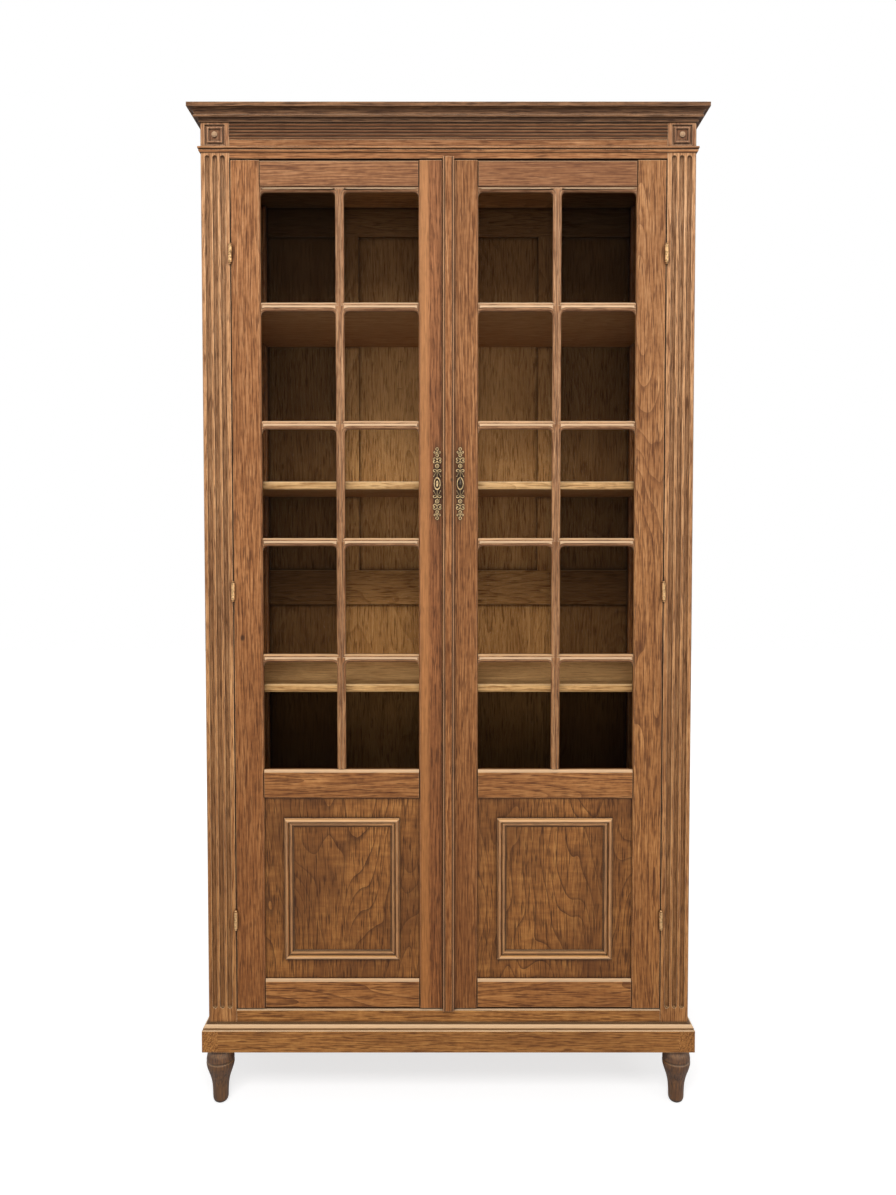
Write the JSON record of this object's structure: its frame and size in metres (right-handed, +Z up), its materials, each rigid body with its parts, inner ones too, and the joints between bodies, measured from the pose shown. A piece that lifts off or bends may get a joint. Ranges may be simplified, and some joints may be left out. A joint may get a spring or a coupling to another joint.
{
  "type": "display cabinet",
  "caption": "Tall oak display cabinet: glazed and panelled double doors, fluted posts, reeded frieze, moulded cornice and plinth, turned feet, shelves on toothed racks.",
  "frame": {"origin": "on the floor, under the middle of the overall box", "axes": "+Z up, front (doors) towards -Y, +X to the right of someone who looks at the front"},
  "size_m": [1.148, 0.504, 2.26],
  "materials": {
    "oak": "waxed, worn",
    "dark_oak": "waxed, dark",
    "interior_oak": "matt, dry",
    "figured_oak": "waxed, strongly figured",
    "aged_brass": "tarnished",
    "dark_brass": "tarnished, dark",
    "old_steel": "aged, satin",
    "window_glass": "clear"
  },
  "bodies": {
    "carcass": {"back_frame": "interior_oak", "back_lower_panel": "interior_oak", "back_upper_panel": "interior_oak", "cornice": "dark_oak", "floor_board": "interior_oak", "frieze_rail": "oak", "left_bottom_hinge_post_half": "dark_brass", "left_front_foot": "dark_oak", "left_front_post": "oak", "left_middle_hinge_post_half": "dark_brass", "left_rear_foot": "dark_oak", "left_shelf_rack": "interior_oak", "left_side_frame": "oak", "left_side_panel": "oak", "left_top_hinge_post_half": "dark_brass", "lower_shelf": "interior_oak", "middle_shelf": "interior_oak", "necking_moulding": "oak", "plinth": "oak", "right_bottom_hinge_post_half": "dark_brass", "right_front_foot": "dark_oak", "right_front_post": "oak", "right_middle_hinge_post_half": "dark_brass", "right_rear_foot": "dark_oak", "right_shelf_rack": "interior_oak", "right_side_frame": "oak", "right_side_panel": "oak", "right_top_hinge_post_half": "dark_brass", "top_board": "interior_oak", "upper_shelf": "interior_oak"},
    "left_door": {"left_bottom_hinge_door_half": "dark_brass", "left_door_bottom_rail": "oak", "left_door_glass": "window_glass", "left_door_glazing_bars": "oak", "left_door_hinge_stile": "oak", "left_door_meeting_stile": "oak", "left_door_middle_rail": "oak", "left_door_panel": "figured_oak", "left_door_top_rail": "oak", "left_escutcheon": "aged_brass", "left_middle_hinge_door_half": "dark_brass", "left_top_hinge_door_half": "dark_brass"},
    "right_door": {"cover_strip": "oak", "lock_case": "old_steel", "right_bottom_hinge_door_half": "dark_brass", "right_door_bottom_rail": "oak", "right_door_glass": "window_glass", "right_door_glazing_bars": "oak", "right_door_hinge_stile": "oak", "right_door_meeting_stile": "oak", "right_door_middle_rail": "oak", "right_door_panel": "figured_oak", "right_door_top_rail": "oak", "right_escutcheon": "aged_brass", "right_middle_hinge_door_half": "dark_brass", "right_top_hinge_door_half": "dark_brass"},
    "key": {"key": "old_steel"},
    "lock_bolt": {"lock_bolt": "old_steel"},
    "left_top_bolt": {"left_door_top_bolt": "old_steel"},
    "left_bottom_bolt": {"left_door_bottom_bolt": "old_steel"}
  },
  "joints": [
    {"name": "left_door_hinge", "type": "hinge", "parent": "carcass", "child": "left_door", "pos_m": [-0.4848, -0.2226, 0.2285], "axis": [0, 0, -1], "range_deg": [0, 170]},
    {"name": "right_door_hinge", "type": "hinge", "parent": "carcass", "child": "right_door", "pos_m": [0.4848, -0.2226, 0.2285], "axis": [0, 0, 1], "range_deg": [0, 170]},
    {"name": "key_turn", "type": "hinge", "parent": "right_door", "child": "key", "pos_m": [0.0265, -0.218, 1.4285], "axis": [0, -1, 0], "range_deg": [0, 360]},
    {"name": "lock_bolt_slide", "type": "slide", "parent": "right_door", "child": "lock_bolt", "axis": [-1, 0, 0], "range_m": [0, 0.009]},
    {"name": "left_top_bolt_slide", "type": "slide", "parent": "left_door", "child": "left_top_bolt", "axis": [0, 0, 1], "range_m": [0, 0.012]},
    {"name": "left_bottom_bolt_slide", "type": "slide", "parent": "left_door", "child": "left_bottom_bolt", "axis": [0, 0, -1], "range_m": [0, 0.012]}
  ],
  "couplings": [
    {"joint": "key_turn", "follows": "lock_bolt_slide", "rad_per_m": 698.13}
  ]
}
